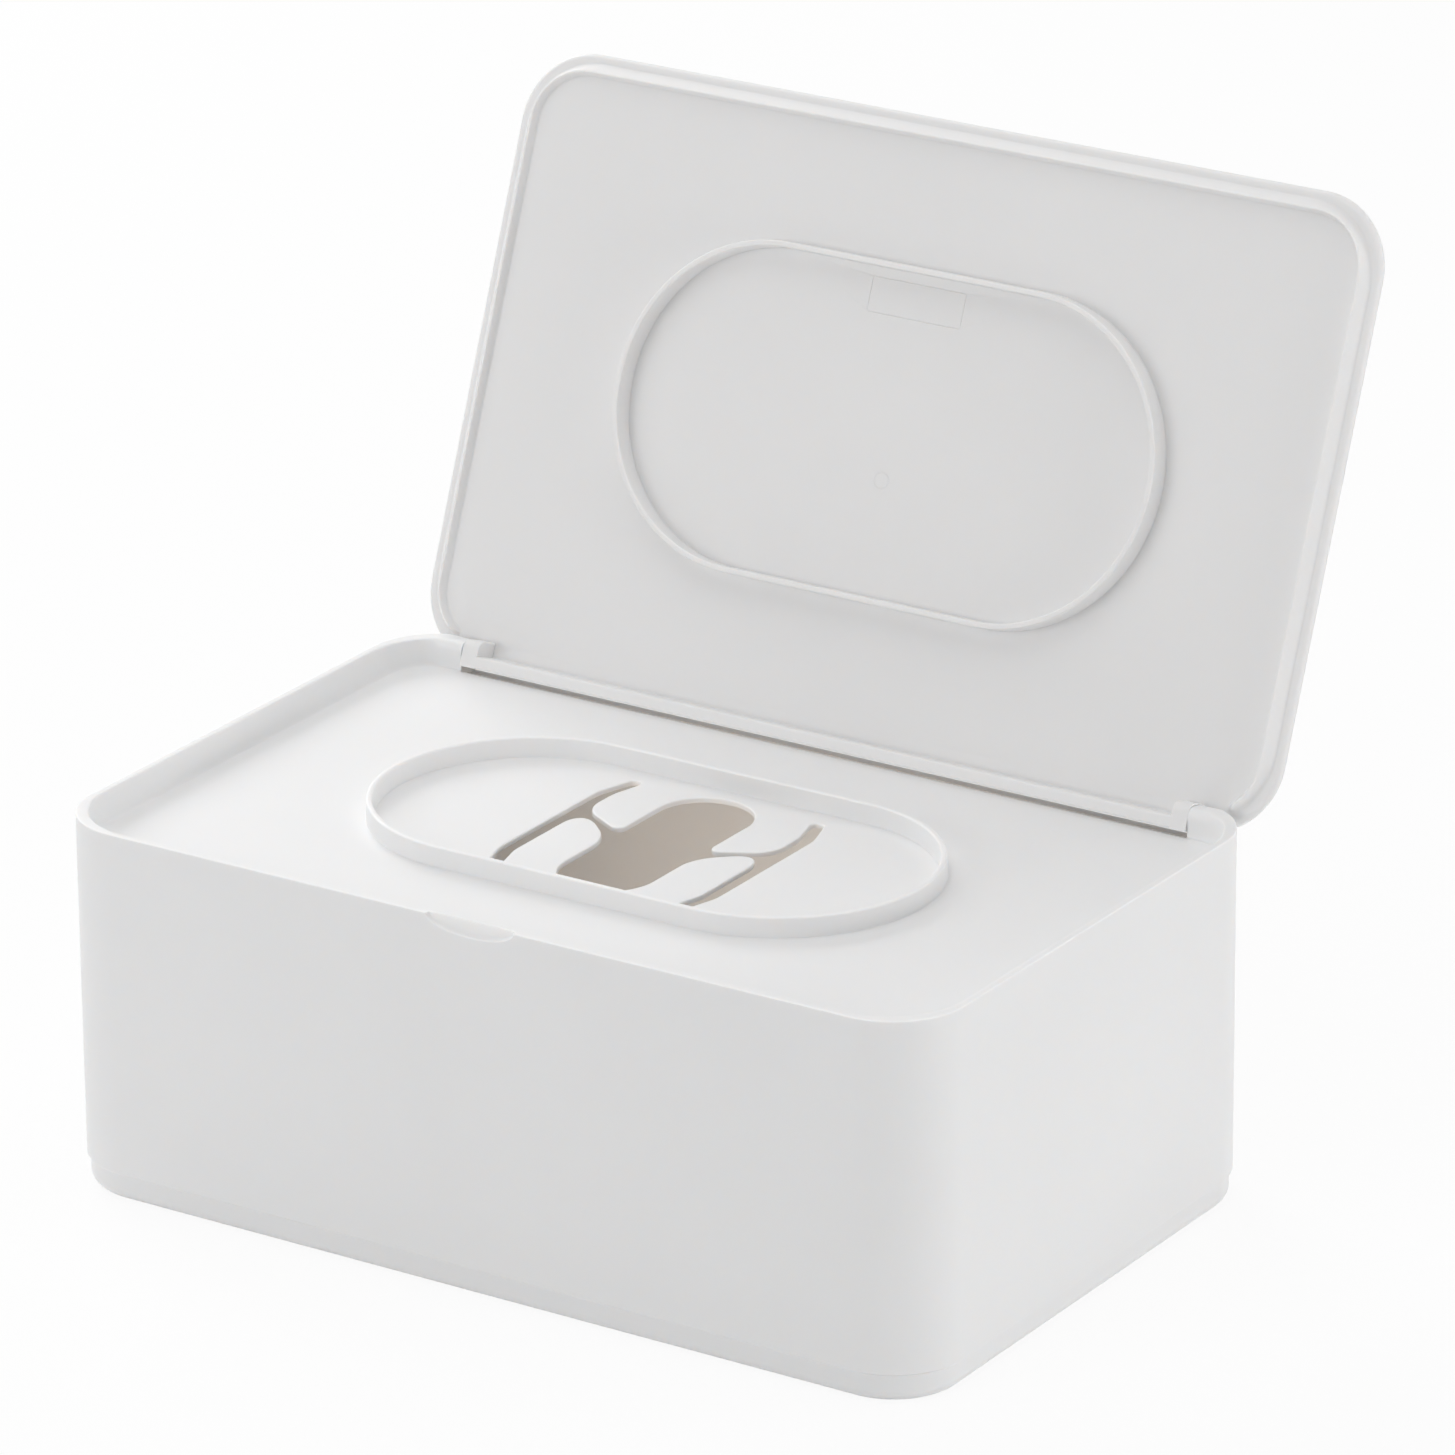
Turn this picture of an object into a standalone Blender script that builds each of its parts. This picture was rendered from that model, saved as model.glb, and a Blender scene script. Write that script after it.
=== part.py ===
"""A refillable wet wipes box: a case on a base tray, with a lid hinged at the rear.

Metres, +Z up. The origin is the centre of the underside of the base tray, the front faces -Y
and the hinge runs along X at the rear. The lid stands open on its stop, leaning back.
"""

from math import atan2, cos, pi, radians, sin, sqrt, tan

import bmesh
import bpy
from mathutils import Vector

# Case: one moulding with four walls, a rim and a recessed top plate
CASE_WIDTH = 0.190
CASE_DEPTH = 0.120
CASE_HEIGHT = 0.068
CORNER_RADIUS = 0.0145
WALL = 0.0020
PLATE_DEPTH = 0.0054
PLATE_THICKNESS = 0.0010

# Rim: a thin top strip whose inner side widens towards the plate
RIM_WIDTH = 0.0015
RIM_INNER_RADIUS = 0.0155
RIM_NECK_WIDTH = 0.0019
RIM_NECK_DROP = 0.0019
RIM_FOOT_WIDTH = 0.0035
RIM_FOOT_FILLET = 0.0010

# Thumb scoop in the front of the rim: an elliptic trough that slopes down to the front
SCOOP_WIDTH = 0.0190
SCOOP_DEPTH = 0.0028
SCOOP_SLOPE = radians(54)

# Ring that stands on the plate round the opening, and the lid's ring that closes round it
RING_LENGTH = 0.1161
RING_WIDTH = 0.0609
RING_WALL = 0.0012
RING_HEIGHT = 0.0041
RING_CLEARANCE = 0.0004
LID_RING_WALL = 0.0011
LID_RING_HEIGHT = 0.0045

# Opening for the wipes: a wide throat and two side slits, with four tongues between them.
# Where a tongue's sides meet, Y gives the corner's place before it is rounded.
THROAT_WIDTH = 0.0185
THROAT_REAR = 0.0258
THROAT_FRONT = 0.0246
SLIT_SPAN = 0.0468
SLIT_WIDTH = 0.0024
SLIT_REAR = 0.0248
SLIT_FRONT = 0.0236
SLIT_TIP_WIDTH = 0.0028
SLIT_TIP_LEAN = 0.0024
SLIT_BEND_LENGTH = 0.0078
SLIT_BEND_RADIUS = 0.0090
FRONT_SHOULDER_Y = -0.0023
FRONT_SHOULDER_RADIUS = 0.0090
FRONT_CREST_Y = 0.0075
FRONT_CREST_RADIUS = 0.0031
REAR_NOSE_Y = 0.0011
REAR_NOSE_RADIUS = 0.0020
REAR_HEEL_Y = 0.0084
REAR_HEEL_RADIUS = 0.0060
ARCH_ROUND_SHARE = 0.999
TIP_ROUND_SHARE = 0.46

# Base tray
BASE_HEIGHT = 0.0060
BASE_INSET = 0.0007
BASE_FLOOR = 0.0020
BASE_EDGE_RADIUS = 0.0027
SEAT_GAP = 0.0003
UPSTAND_HEIGHT = 0.0060
UPSTAND_WALL = 0.0016

# Hinge: the axis lies below the rim, just inside the rear wall
HINGE_INSET = 0.0022
HINGE_DROP = 0.0027
OPEN_ANGLE = radians(111.65)
PIN_RADIUS = 0.0009
PIN_LENGTH = 0.0018
PIN_HOLE_CLEARANCE = 0.0003
PIN_END_CLEARANCE = 0.0004
KNUCKLE_CLEARANCE = 0.00005

# Notch in the rear of the rim and plate, where the hinge band of the lid swings
NOTCH_SIDE_INSET = 0.0138
NOTCH_FRONT = 0.00515
NOTCH_REAR = 0.0024
NOTCH_DROP = 0.0068

# Bosses that carry the pins, at both ends of the notch. The skin is the least wall outside them.
BOSS_LENGTH = 0.0046
BOSS_SKIN = 0.0003
BOSS_DEPTH = 0.0050
BOSS_DROP = 0.0003
BOSS_ROUND = 0.0018

# Lid: a plate with a round edge, a lip that drops inside the rim, a raised panel
LID_GAP = 0.00025
LID_OVERHANG = 0.0003
LID_REAR_INSET = 0.0001
LID_THICKNESS = 0.0022
LIP_INSET = 0.0034
LIP_WIDTH = 0.0005
LIP_HEIGHT = 0.0020
LIP_FILLET = 0.0010
LIP_INNER_SLOPE = 0.0006
LIP_REAR_SWEEP = radians(52)
PANEL_INSET = 0.0036
PANEL_RISE = 0.0003
PANEL_RAMP_START = 0.0060
PANEL_RAMP_END = 0.0110

# Hinge band and arms of the lid
BAND_THICKNESS = 0.0025
BAND_DROP = 0.0055
BAND_PROUD = 0.0004
ARM_CLEARANCE = 0.0004
ARM_WIDTH = 0.0035
ARM_DEPTH = 0.0054
ARM_ROUND = 0.0020

# How finely round stretches are drawn, and how far cutters reach past what they cut
CORNER_STEPS = 14
RING_STEPS = 36
PIN_STEPS = 24
EDGE_STEPS = 6
SCOOP_STEPS = 48
OVERRUN = 0.0015
SHARP_ANGLE = radians(30)

# Points nearer than this share of the seat gap are one point
MERGE_SHARE = 0.001

# Places worked out from the sizes
CASE_BOTTOM = BASE_HEIGHT
RIM_TOP = CASE_BOTTOM + CASE_HEIGHT
PLATE_TOP = RIM_TOP - PLATE_DEPTH
PLATE_UNDERSIDE = PLATE_TOP - PLATE_THICKNESS
FRONT = -CASE_DEPTH / 2
REAR = CASE_DEPTH / 2
HINGE_Y = REAR - HINGE_INSET
HINGE_Z = RIM_TOP - HINGE_DROP
NOTCH_SPAN = CASE_WIDTH - 2 * NOTCH_SIDE_INSET
LID_UNDERSIDE = RIM_TOP + LID_GAP
LID_TOP = LID_UNDERSIDE + LID_THICKNESS
LID_EDGE_RADIUS = LID_THICKNESS / 2
PANEL_UNDERSIDE = LID_UNDERSIDE - PANEL_RISE
ARM_OUTSIDE = NOTCH_SPAN / 2 - ARM_CLEARANCE
BAND_REAR = REAR + BAND_PROUD
BAND_BOTTOM = RIM_TOP - BAND_DROP


def clear_scene():
    for old in list(bpy.data.objects):
        bpy.data.objects.remove(old, do_unlink=True)


def plastic(name, colour, roughness):
    """White moulded plastic with a soft sheen."""
    material = bpy.data.materials.new(name)
    material.use_nodes = True
    shader = material.node_tree.nodes["Principled BSDF"]
    shader.inputs["Base Color"].default_value = (*colour, 1)
    shader.inputs["Roughness"].default_value = roughness
    shader.inputs["Metallic"].default_value = 0
    return material


def arc(centre_x, centre_y, radius, start, end, steps):
    """Points from one angle to another on a circle."""
    points = []
    for step in range(steps + 1):
        angle = start + (end - start) * step / steps
        points.append((centre_x + radius * cos(angle), centre_y + radius * sin(angle)))
    return points


def rounded_rectangle(inset_side, inset_front, inset_rear, radius, height):
    """A level loop inside the case's outline, counted from the front right corner."""
    right = CASE_WIDTH / 2 - inset_side
    front = FRONT + inset_front
    rear = REAR - inset_rear
    corners = (
        (right - radius, front + radius, -pi / 2),
        (right - radius, rear - radius, 0),
        (radius - right, rear - radius, pi / 2),
        (radius - right, front + radius, pi),
    )
    loop = []
    for x, y, start in corners:
        loop += arc(x, y, radius, start, start + pi / 2, CORNER_STEPS)
    return [Vector((x, y, height)) for x, y in loop]


def case_loop(inset, height, radius=None):
    """A loop set in evenly from the case's outline, concentric unless a radius is given."""
    if radius is None:
        radius = CORNER_RADIUS - inset
    return rounded_rectangle(inset, inset, inset, radius, height)


def lid_loop(inset, height):
    """A loop set in evenly from the lid's outline."""
    return rounded_rectangle(
        inset - LID_OVERHANG,
        inset - LID_OVERHANG,
        inset + LID_REAR_INSET,
        CORNER_RADIUS + LID_OVERHANG - inset,
        height,
    )


def stadium(length, width, height):
    """A level loop with two straight sides and half-round ends."""
    radius = width / 2
    reach = length / 2 - radius
    loop = arc(reach, 0, radius, -pi / 2, pi / 2, RING_STEPS)
    loop += arc(-reach, 0, radius, pi / 2, 3 * pi / 2, RING_STEPS)
    return [Vector((x, y, height)) for x, y in loop]


def round_corners(corners, steps):
    """An outline through corners (x, y, radius), with an arc of the radius in each."""
    outline = []
    for index, (x, y, radius) in enumerate(corners):
        before = corners[index - 1]
        after = corners[(index + 1) % len(corners)]
        enter = atan2(y - before[1], x - before[0])
        leave = atan2(after[1] - y, after[0] - x)
        turn = (leave - enter + pi) % (2 * pi) - pi
        side = 1 if turn > 0 else -1
        back = radius * tan(abs(turn) / 2)
        centre_x = x - back * cos(enter) - side * radius * sin(enter)
        centre_y = y - back * sin(enter) + side * radius * cos(enter)
        start = enter - side * pi / 2
        count = max(2, round(steps * abs(turn) / (pi / 2)))
        outline += arc(centre_x, centre_y, radius, start, start + turn, count)
    return outline


def skin(rows, capped=True):
    """A closed mesh through rows of points, each row a loop, with flat ends or joined end to end."""
    mesh = bmesh.new()
    grid = [[mesh.verts.new(point) for point in row] for row in rows]
    count = len(grid[0])
    spans = list(zip(grid, grid[1:]))
    if not capped:
        spans.append((grid[-1], grid[0]))
    for lower, upper in spans:
        for index in range(count):
            following = (index + 1) % count
            mesh.faces.new((lower[index], lower[following], upper[following], upper[index]))
    if capped:
        mesh.faces.new(reversed(grid[0]))
        mesh.faces.new(grid[-1])
    bmesh.ops.remove_doubles(mesh, verts=mesh.verts, dist=SEAT_GAP * MERGE_SHARE)
    bmesh.ops.recalc_face_normals(mesh, faces=mesh.faces)
    return mesh


def prism_up(outline, low, high):
    """An outline in X and Y, carried straight up."""
    return skin([[Vector((x, y, z)) for x, y in outline] for z in (low, high)])


def prism_across(outline, low, high):
    """An outline in Y and Z, carried along X."""
    return skin([[Vector((x, y, z)) for y, z in outline] for x in (low, high)])


def place(name, mesh, material=None, axis=None):
    """Makes the object, with its origin on the axis empty that carries it, if there is one."""
    if axis is not None:
        bmesh.ops.translate(mesh, verts=mesh.verts, vec=-axis.location)
    data = bpy.data.meshes.new(name)
    mesh.to_mesh(data)
    mesh.free()
    thing = bpy.data.objects.new(name, data)
    bpy.context.scene.collection.objects.link(thing)
    thing.parent = axis
    if material is not None:
        data.materials.append(material)
        data.shade_smooth()
        data.set_sharp_from_angle(angle=SHARP_ANGLE)
    return thing


def combine(target, name, mesh, operation):
    """Joins a helper shape to the target, or cuts it out."""
    helper = place(name, mesh, axis=target.parent)
    helper.hide_render = True
    helper.display_type = "WIRE"
    modifier = target.modifiers.new(name, "BOOLEAN")
    modifier.operation = operation
    modifier.solver = "EXACT"
    modifier.object = helper


def opening_outline():
    """The opening's outline, from the middle of its front, mirrored about the Y axis.

    The throat lies between the tongues, and each side slit runs outside them. A sloping gap
    between the front and the rear tongue joins the slit to the throat.
    """
    throat = THROAT_WIDTH / 2
    arch = throat * ARCH_ROUND_SHARE
    outside = SLIT_SPAN / 2
    inside = outside - SLIT_WIDTH
    tip_inside = inside - SLIT_TIP_LEAN
    tip_outside = tip_inside + SLIT_TIP_WIDTH
    tip = SLIT_TIP_WIDTH * TIP_ROUND_SHARE
    front_bend = SLIT_BEND_LENGTH - SLIT_FRONT
    rear_bend = SLIT_REAR - SLIT_BEND_LENGTH
    half = [
        (throat, -THROAT_FRONT, arch),
        (throat, FRONT_SHOULDER_Y, FRONT_SHOULDER_RADIUS),
        (inside, FRONT_CREST_Y, FRONT_CREST_RADIUS),
        (inside, front_bend, SLIT_BEND_RADIUS),
        (tip_inside, -SLIT_FRONT, tip),
        (tip_outside, -SLIT_FRONT, tip),
        (outside, front_bend, SLIT_BEND_RADIUS),
        (outside, rear_bend, SLIT_BEND_RADIUS),
        (tip_outside, SLIT_REAR, tip),
        (tip_inside, SLIT_REAR, tip),
        (inside, rear_bend, SLIT_BEND_RADIUS),
        (inside, REAR_HEEL_Y, REAR_HEEL_RADIUS),
        (throat, REAR_NOSE_Y, REAR_NOSE_RADIUS),
        (throat, THROAT_REAR, arch),
    ]
    mirrored = [(-x, y, radius) for x, y, radius in reversed(half)]
    return round_corners(half + mirrored, EDGE_STEPS)


def make_base(material):
    """Shallow tray with a rounded bottom edge and an upstand that plugs into the case."""
    shelf = BASE_HEIGHT - SEAT_GAP
    upstand_outside = WALL + SEAT_GAP
    upstand_inside = upstand_outside + UPSTAND_WALL
    rows = [case_loop(upstand_inside, BASE_FLOOR)]
    rows.append(case_loop(upstand_inside, BASE_HEIGHT + UPSTAND_HEIGHT))
    rows.append(case_loop(upstand_outside, BASE_HEIGHT + UPSTAND_HEIGHT))
    rows.append(case_loop(upstand_outside, shelf))
    rows.append(case_loop(BASE_INSET, shelf))
    rounding = arc(
        BASE_INSET + BASE_EDGE_RADIUS, BASE_EDGE_RADIUS, BASE_EDGE_RADIUS, pi, 3 * pi / 2, EDGE_STEPS
    )
    for inset, height in rounding:
        rows.append(case_loop(inset, height))
    return place("base_tray", skin(rows), material)


def make_case(material):
    """Four straight walls, open below, with the rim and the recessed plate on top."""
    foot = arc(
        RIM_FOOT_WIDTH, PLATE_TOP + RIM_FOOT_FILLET, RIM_FOOT_FILLET, 3 * pi / 2, pi, EDGE_STEPS
    )
    rows = [case_loop(inset, height, RIM_INNER_RADIUS) for inset, height in foot]
    rows.append(case_loop(RIM_NECK_WIDTH, RIM_TOP - RIM_NECK_DROP, CORNER_RADIUS))
    rows.append(case_loop(RIM_WIDTH, RIM_TOP, RIM_INNER_RADIUS))
    rows.append(case_loop(0, RIM_TOP))
    rows.append(case_loop(0, CASE_BOTTOM))
    rows.append(case_loop(WALL, CASE_BOTTOM))
    rows.append(case_loop(WALL, PLATE_UNDERSIDE))
    case = place("case", skin(rows), material)

    ring = skin(
        [
            stadium(RING_LENGTH, RING_WIDTH, PLATE_TOP - PLATE_THICKNESS / 2),
            stadium(RING_LENGTH, RING_WIDTH, PLATE_TOP + RING_HEIGHT),
            stadium(RING_LENGTH - 2 * RING_WALL, RING_WIDTH - 2 * RING_WALL, PLATE_TOP + RING_HEIGHT),
            stadium(
                RING_LENGTH - 2 * RING_WALL,
                RING_WIDTH - 2 * RING_WALL,
                PLATE_TOP - PLATE_THICKNESS / 2,
            ),
        ],
        capped=False,
    )
    combine(case, "plate_ring", ring, "UNION")

    # A boss reaches back to just inside the round corner, at its own outer end
    inner = NOTCH_SPAN / 2 - OVERRUN
    outer = NOTCH_SPAN / 2 + BOSS_LENGTH
    round_start = CASE_WIDTH / 2 - CORNER_RADIUS
    corner_y = REAR - CORNER_RADIUS + sqrt(CORNER_RADIUS**2 - (outer - round_start) ** 2)
    boss_rear = corner_y - BOSS_SKIN
    for side in (-1, 1):
        top = RIM_TOP - BOSS_DROP
        boss = [
            (boss_rear, PLATE_TOP - PLATE_THICKNESS / 2),
            (boss_rear, top),
        ]
        boss += arc(
            REAR - BOSS_DEPTH + BOSS_ROUND, top - BOSS_ROUND, BOSS_ROUND, pi / 2, pi, EDGE_STEPS
        )
        boss.append((REAR - BOSS_DEPTH, PLATE_TOP - PLATE_THICKNESS / 2))
        ends = sorted((side * inner, side * outer))
        combine(case, "pin_boss", prism_across(boss, *ends), "UNION")

    notch_bottom = RIM_TOP - NOTCH_DROP
    notch = [
        (REAR - NOTCH_FRONT, PLATE_UNDERSIDE - OVERRUN),
        (REAR - NOTCH_REAR, PLATE_UNDERSIDE - OVERRUN),
        (REAR - NOTCH_REAR, notch_bottom),
        (REAR + OVERRUN, notch_bottom),
        (REAR + OVERRUN, RIM_TOP + OVERRUN),
        (REAR - NOTCH_FRONT, RIM_TOP + OVERRUN),
    ]
    combine(case, "hinge_notch", prism_across(notch, -NOTCH_SPAN / 2, NOTCH_SPAN / 2), "DIFFERENCE")

    # The rim's rear edge is round about the hinge axis, so that the opening lid passes over it
    swing = HINGE_DROP + KNUCKLE_CLEARANCE
    droop = arc(HINGE_Y, HINGE_Z, swing, pi / 2, 0, 2 * EDGE_STEPS)
    droop.append((REAR + OVERRUN, HINGE_Z))
    droop.append((REAR + OVERRUN, RIM_TOP + OVERRUN))
    droop.append((HINGE_Y, RIM_TOP + OVERRUN))
    combine(case, "rear_edge_round", prism_across(droop, -CASE_WIDTH / 2, CASE_WIDTH / 2), "DIFFERENCE")

    hole = PIN_RADIUS + PIN_HOLE_CLEARANCE
    outline = arc(HINGE_Y, HINGE_Z, hole, 0, 2 * pi, PIN_STEPS)[:-1]
    for side in (-1, 1):
        mouth = NOTCH_SPAN / 2 - OVERRUN
        blind = ARM_OUTSIDE + PIN_LENGTH + PIN_END_CLEARANCE
        ends = sorted((side * mouth, side * blind))
        combine(case, "pin_hole", prism_across(outline, *ends), "DIFFERENCE")

    ellipse = arc(0, 0, 1, 0, 2 * pi, SCOOP_STEPS)[:-1]
    rows = []
    for back in (-OVERRUN, RIM_FOOT_WIDTH):
        lift = back * tan(SCOOP_SLOPE)
        row = []
        for x, z in ellipse:
            row.append(
                Vector((x * SCOOP_WIDTH / 2, FRONT + back, RIM_TOP + lift + z * SCOOP_DEPTH))
            )
        rows.append(row)
    combine(case, "thumb_scoop", skin(rows), "DIFFERENCE")

    opening = prism_up(opening_outline(), PLATE_UNDERSIDE - OVERRUN, PLATE_TOP + OVERRUN)
    combine(case, "wipes_opening", opening, "DIFFERENCE")
    return case


def lip_path(inset):
    """The lip's run along the sides and front of the lid, from inside one rear corner to the other."""
    radius = CORNER_RADIUS + LID_OVERHANG - inset
    right = CASE_WIDTH / 2 + LID_OVERHANG - inset - radius
    front = FRONT - LID_OVERHANG + inset + radius
    rear = REAR - LID_REAR_INSET - inset - radius
    path = arc(-right, rear, radius, pi - LIP_REAR_SWEEP, pi, CORNER_STEPS)
    path += arc(-right, front, radius, pi, 3 * pi / 2, CORNER_STEPS)
    path += arc(right, front, radius, 3 * pi / 2, 2 * pi, CORNER_STEPS)
    path += arc(right, rear, radius, 0, LIP_REAR_SWEEP, CORNER_STEPS)
    return path


def make_lid(material):
    """Plate with lip, ring, hinge band, arms and pins, modelled shut and swung open."""
    axis = bpy.data.objects.new("hinge_axis", None)
    bpy.context.scene.collection.objects.link(axis)
    axis.location = (0, HINGE_Y, HINGE_Z)
    bpy.context.view_layer.update()

    side = PANEL_INSET - LID_OVERHANG
    radius = CORNER_RADIUS + LID_OVERHANG - PANEL_INSET
    rows = [rounded_rectangle(side, side, PANEL_RAMP_END, radius, PANEL_UNDERSIDE)]
    rows.append(rounded_rectangle(side, side, PANEL_RAMP_START, radius, LID_UNDERSIDE))
    edge = arc(
        LID_EDGE_RADIUS, LID_UNDERSIDE + LID_EDGE_RADIUS, LID_EDGE_RADIUS, 3 * pi / 2, pi / 2, 2 * EDGE_STEPS
    )
    for inset, height in edge:
        rows.append(lid_loop(inset, height))
    lid = place("lid", skin(rows), material, axis)

    lip_bottom = LID_UNDERSIDE - LIP_HEIGHT
    embedded = LID_UNDERSIDE + LID_THICKNESS / 2
    profile = [(LIP_INSET - LIP_FILLET, embedded)]
    profile += arc(
        LIP_INSET - LIP_FILLET, LID_UNDERSIDE - LIP_FILLET, LIP_FILLET, pi / 2, 0, EDGE_STEPS
    )
    profile.append((LIP_INSET, lip_bottom))
    profile.append((LIP_INSET + LIP_WIDTH, lip_bottom))
    profile.append((LIP_INSET + LIP_WIDTH + LIP_INNER_SLOPE, PANEL_UNDERSIDE))
    profile.append((LIP_INSET + LIP_WIDTH + LIP_INNER_SLOPE, embedded))
    paths = [[Vector((x, y, height)) for x, y in lip_path(inset)] for inset, height in profile]
    combine(lid, "lid_lip", skin(list(zip(*paths))), "UNION")

    inner_length = RING_LENGTH + 2 * RING_CLEARANCE
    inner_width = RING_WIDTH + 2 * RING_CLEARANCE
    ring_bottom = PANEL_UNDERSIDE - LID_RING_HEIGHT
    ring = skin(
        [
            stadium(inner_length + 2 * LID_RING_WALL, inner_width + 2 * LID_RING_WALL, embedded),
            stadium(inner_length + 2 * LID_RING_WALL, inner_width + 2 * LID_RING_WALL, ring_bottom),
            stadium(inner_length, inner_width, ring_bottom),
            stadium(inner_length, inner_width, embedded),
        ],
        capped=False,
    )
    combine(lid, "lid_ring", ring, "UNION")

    band_end = ARM_OUTSIDE - ARM_WIDTH / 2
    band = [
        (BAND_REAR - BAND_THICKNESS, BAND_BOTTOM),
        (BAND_REAR, BAND_BOTTOM),
        (BAND_REAR, embedded),
        (BAND_REAR - BAND_THICKNESS, embedded),
    ]
    combine(lid, "hinge_band", prism_across(band, -band_end, band_end), "UNION")

    arm = [(BAND_REAR, BAND_BOTTOM), (BAND_REAR, embedded), (BAND_REAR - ARM_DEPTH, embedded)]
    arm += arc(
        BAND_REAR - ARM_DEPTH + ARM_ROUND, BAND_BOTTOM + ARM_ROUND, ARM_ROUND, pi, 3 * pi / 2, EDGE_STEPS
    )
    pin = arc(HINGE_Y, HINGE_Z, PIN_RADIUS, 0, 2 * pi, PIN_STEPS)[:-1]
    for side in (-1, 1):
        ends = sorted((side * ARM_OUTSIDE, side * (ARM_OUTSIDE - ARM_WIDTH)))
        combine(lid, "hinge_arm", prism_across(arm, *ends), "UNION")
        ends = sorted((side * (ARM_OUTSIDE - ARM_WIDTH / 2), side * (ARM_OUTSIDE + PIN_LENGTH)))
        combine(lid, "hinge_pin", prism_across(pin, *ends), "UNION")

    axis.rotation_euler.x = -OPEN_ANGLE
    return lid


clear_scene()
make_base(plastic("tray_plastic", (0.84, 0.84, 0.83), 0.5))
make_case(plastic("case_plastic", (0.86, 0.86, 0.85), 0.5))
make_lid(plastic("lid_plastic", (0.86, 0.86, 0.86), 0.5))
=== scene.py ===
from math import atan2, cos, hypot, pi, radians, sin, tan

import bmesh
import bpy
from mathutils import Matrix, Vector


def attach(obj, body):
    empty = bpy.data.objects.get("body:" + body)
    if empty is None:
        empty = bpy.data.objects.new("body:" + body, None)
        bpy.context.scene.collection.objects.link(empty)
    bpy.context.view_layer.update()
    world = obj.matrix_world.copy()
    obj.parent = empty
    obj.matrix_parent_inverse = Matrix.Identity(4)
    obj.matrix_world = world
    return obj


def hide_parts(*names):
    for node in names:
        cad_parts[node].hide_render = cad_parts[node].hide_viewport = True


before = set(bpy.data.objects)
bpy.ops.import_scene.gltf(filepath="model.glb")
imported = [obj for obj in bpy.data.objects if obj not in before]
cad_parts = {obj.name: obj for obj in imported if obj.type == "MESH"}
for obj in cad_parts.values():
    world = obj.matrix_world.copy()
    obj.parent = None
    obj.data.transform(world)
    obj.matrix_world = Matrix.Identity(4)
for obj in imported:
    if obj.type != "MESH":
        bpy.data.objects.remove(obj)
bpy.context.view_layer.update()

# Base tray: the shallow tray that closes the box from below, 6 mm high with a rounded foot.
# One moulding of white polypropylene, with a satin spark-eroded skin. Its upstand plugs into
# the case with a little play, so the box can be opened there for a refill.
BOX_WIDTH = 0.190
BOX_DEPTH = 0.120
BOX_CORNER = 0.0145
CORNER_STEPS = 24
ROUND_STEPS = 4
TRAY_SHELF = 0.0057
TRAY_INSET = 0.0007
TRAY_FOOT_ROUND = 0.0027
TRAY_FOOT_STEPS = 10
TRAY_SHELF_ROUND = 0.0004
TRAY_FLOOR = 0.0020
TRAY_FLOOR_FILLET = 0.0010
UPSTAND_OUTSIDE = 0.0023
UPSTAND_INSIDE = 0.0039
UPSTAND_TOP = 0.0120
UPSTAND_ROUND = 0.0006
SHARP_TURN = radians(40)
SPREAD = 0.01
BODY_WHITE = (0.866, 0.866, 0.868)
FLOW_SHADE = 0.985
FLOW_SCALE = 22
GRAIN_SCALE = 2600
ROUGHNESS_LEAST = 0.42
ROUGHNESS_MOST = 0.52
GLOW_DEPTH = 0.0005

# A fillet of three points: its middle point's share of the radius, along both sides
FILLET_MIDDLE = 0.3


def quarter_round(radius, steps):
    """Points on a quarter circle: how far in from the side, and how far from the top."""
    turns = [pi / 2 * step / steps for step in range(steps + 1)]
    return [(radius * (1 - cos(turn)), radius * (1 - sin(turn))) for turn in turns]


def hoop(mesh, width, depth, radius, height, middle=0.0):
    """A level rounded rectangle: a loop of edges with no face."""
    corners = bmesh.ops.create_grid(mesh, x_segments=1, y_segments=1, size=0.5)["verts"]
    bmesh.ops.scale(mesh, vec=(width, depth, 1), verts=corners)
    bmesh.ops.translate(mesh, vec=(0, middle, height), verts=corners)
    rounded = bmesh.ops.bevel(
        mesh,
        geom=corners,
        affect="VERTICES",
        offset=radius,
        segments=CORNER_STEPS,
        profile=0.5,
        material=-1,
    )["verts"]
    face = rounded[0].link_faces[0]
    edges = list(face.edges)
    bmesh.ops.delete(mesh, geom=[face], context="FACES_ONLY")
    return edges


def box_hoop(mesh, inset, height, radius=None):
    """A hoop set in evenly from the box's outline."""
    if radius is None:
        radius = BOX_CORNER - inset
    return hoop(mesh, BOX_WIDTH - 2 * inset, BOX_DEPTH - 2 * inset, radius, height)


def skin_over(mesh, hoops):
    """Joins each hoop to the next, spread far apart meanwhile so that level ones match too."""
    stack = [{vert for edge in loop for vert in edge.verts} for loop in hoops]
    for index, verts in enumerate(stack):
        bmesh.ops.translate(mesh, vec=(0, 0, index * SPREAD), verts=list(verts))
    for near, far in zip(hoops, hoops[1:]):
        bmesh.ops.bridge_loops(mesh, edges=near + far)
    for index, verts in enumerate(stack):
        bmesh.ops.translate(mesh, vec=(0, 0, -index * SPREAD), verts=list(verts))


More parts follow.
